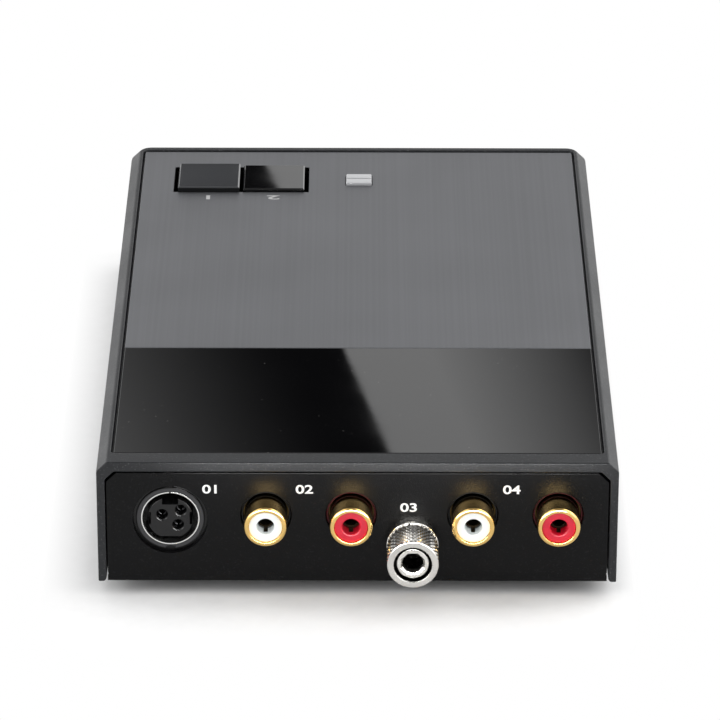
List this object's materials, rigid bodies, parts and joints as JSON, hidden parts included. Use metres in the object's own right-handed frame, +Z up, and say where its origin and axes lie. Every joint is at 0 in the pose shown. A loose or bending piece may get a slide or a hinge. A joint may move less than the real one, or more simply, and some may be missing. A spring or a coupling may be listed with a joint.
{
  "type": "phono preamp",
  "caption": "Flat-box phono preamp: chamfered shell with brushed and gloss inlays, push buttons, and a jack panel with power inlet, phono jacks and ground terminal.",
  "frame": {"origin": "centre of the object's footprint, on the surface that its feet stand on", "axes": "+Y from the jack panel towards the control end, +X to the right as seen from the jack side, +Z up"},
  "size_m": [0.1012, 0.1704, 0.0301],
  "materials": {
    "powder_coat": "fine-textured dark grey powder coat",
    "brushed_dark": "brushed, dark anodised",
    "gloss_black": "polished black acrylic",
    "satin_black": "satin black paint",
    "screw_steel": "zinc plated",
    "foot_rubber": "matte",
    "board_green": "solder mask",
    "button_black": "polished",
    "plunger_white": "moulded",
    "switch_grey": "moulded",
    "light_pipe_clear": "frosted clear",
    "lamp_clear": "clear",
    "socket_black": "moulded",
    "nickel_plate": "nickel plated",
    "gold_plate": "gold plated, polished",
    "insulator_white": "moulded",
    "insulator_red": "moulded",
    "contact_tin": "tin plated",
    "can_sleeve": "shrink sleeve",
    "film_red": "moulded",
    "chip_black": "moulded",
    "resistor_blue": "lacquered",
    "dip_red": "moulded"
  },
  "bodies": {
    "chassis": {"top_shell": "powder_coat", "brushed_plate": "brushed_dark", "gloss_panel": "gloss_black", "base_tray": "satin_black", "case_screws": "screw_steel", "near_left_foot": "foot_rubber", "near_right_foot": "foot_rubber", "far_left_foot": "foot_rubber", "far_right_foot": "foot_rubber", "main_board": "board_green", "board_standoffs": "screw_steel", "board_screws": "screw_steel", "subsonic_switch": "switch_grey", "mono_switch": "switch_grey", "light_pipe": "light_pipe_clear", "power_lamp": "lamp_clear", "power_inlet_housing": "socket_black", "power_inlet_shield": "nickel_plate", "power_inlet_core": "socket_black", "power_inlet_contacts": "contact_tin", "ground_post": "nickel_plate", "ground_inner_nut": "nickel_plate", "ground_lug": "contact_tin", "electrolytic_capacitors": "can_sleeve", "film_capacitors": "film_red", "op_amps": "chip_black", "voltage_regulators": "chip_black", "resistors": "resistor_blue", "left_dip_switch": "dip_red", "right_dip_switch": "dip_red", "input_left_housing": "socket_black", "input_left_barrel": "gold_plate", "input_left_contact": "gold_plate", "input_left_insulator": "insulator_white", "input_right_housing": "socket_black", "input_right_barrel": "gold_plate", "input_right_contact": "gold_plate", "input_right_insulator": "insulator_red", "output_left_housing": "socket_black", "output_left_barrel": "gold_plate", "output_left_contact": "gold_plate", "output_left_insulator": "insulator_white", "output_right_housing": "socket_black", "output_right_barrel": "gold_plate", "output_right_contact": "gold_plate", "output_right_insulator": "insulator_red"},
    "subsonic_key": {"subsonic_button": "button_black", "subsonic_plunger": "plunger_white"},
    "mono_key": {"mono_button": "button_black", "mono_plunger": "plunger_white"},
    "ground_clamp": {"ground_washer": "nickel_plate"},
    "ground_thumb_nut": {"ground_nut": "nickel_plate"},
    "left_dip_1": {"left_slider_1": "plunger_white"},
    "left_dip_2": {"left_slider_2": "plunger_white"},
    "left_dip_3": {"left_slider_3": "plunger_white"},
    "left_dip_4": {"left_slider_4": "plunger_white"},
    "right_dip_1": {"right_slider_1": "plunger_white"},
    "right_dip_2": {"right_slider_2": "plunger_white"},
    "right_dip_3": {"right_slider_3": "plunger_white"},
    "right_dip_4": {"right_slider_4": "plunger_white"}
  },
  "joints": [
    {"name": "subsonic_press", "type": "slide", "parent": "chassis", "child": "subsonic_key", "axis": [0, 0, -1], "range_m": [0, 0.001], "stiffness_N_per_m": 300, "springref_m": -0.003},
    {"name": "mono_press", "type": "slide", "parent": "chassis", "child": "mono_key", "axis": [0, 0, -1], "range_m": [0, 0.001], "stiffness_N_per_m": 300, "springref_m": -0.003},
    {"name": "ground_nut_travel", "type": "slide", "parent": "chassis", "child": "ground_clamp", "axis": [0, -1, 0], "range_m": [0, 0.003]},
    {"name": "ground_nut_turn", "type": "hinge", "parent": "ground_clamp", "child": "ground_thumb_nut", "pos_m": [0.0107, -0.08085, 0.0123], "axis": [0, -1, 0], "range_deg": [0, 1080]},
    {"name": "left_dip_1_slide", "type": "slide", "parent": "chassis", "child": "left_dip_1", "axis": [0, 1, 0], "range_m": [0, 0.0016]},
    {"name": "left_dip_2_slide", "type": "slide", "parent": "chassis", "child": "left_dip_2", "axis": [0, 1, 0], "range_m": [0, 0.0016]},
    {"name": "left_dip_3_slide", "type": "slide", "parent": "chassis", "child": "left_dip_3", "axis": [0, 1, 0], "range_m": [0, 0.0016]},
    {"name": "left_dip_4_slide", "type": "slide", "parent": "chassis", "child": "left_dip_4", "axis": [0, 1, 0], "range_m": [0, 0.0016]},
    {"name": "right_dip_1_slide", "type": "slide", "parent": "chassis", "child": "right_dip_1", "axis": [0, 1, 0], "range_m": [0, 0.0016]},
    {"name": "right_dip_2_slide", "type": "slide", "parent": "chassis", "child": "right_dip_2", "axis": [0, 1, 0], "range_m": [0, 0.0016]},
    {"name": "right_dip_3_slide", "type": "slide", "parent": "chassis", "child": "right_dip_3", "axis": [0, 1, 0], "range_m": [0, 0.0016]},
    {"name": "right_dip_4_slide", "type": "slide", "parent": "chassis", "child": "right_dip_4", "axis": [0, 1, 0], "range_m": [0, 0.0016]}
  ],
  "couplings": [
    {"joint": "ground_nut_turn", "follows": "ground_nut_travel", "rad_per_m": 6283.2}
  ]
}
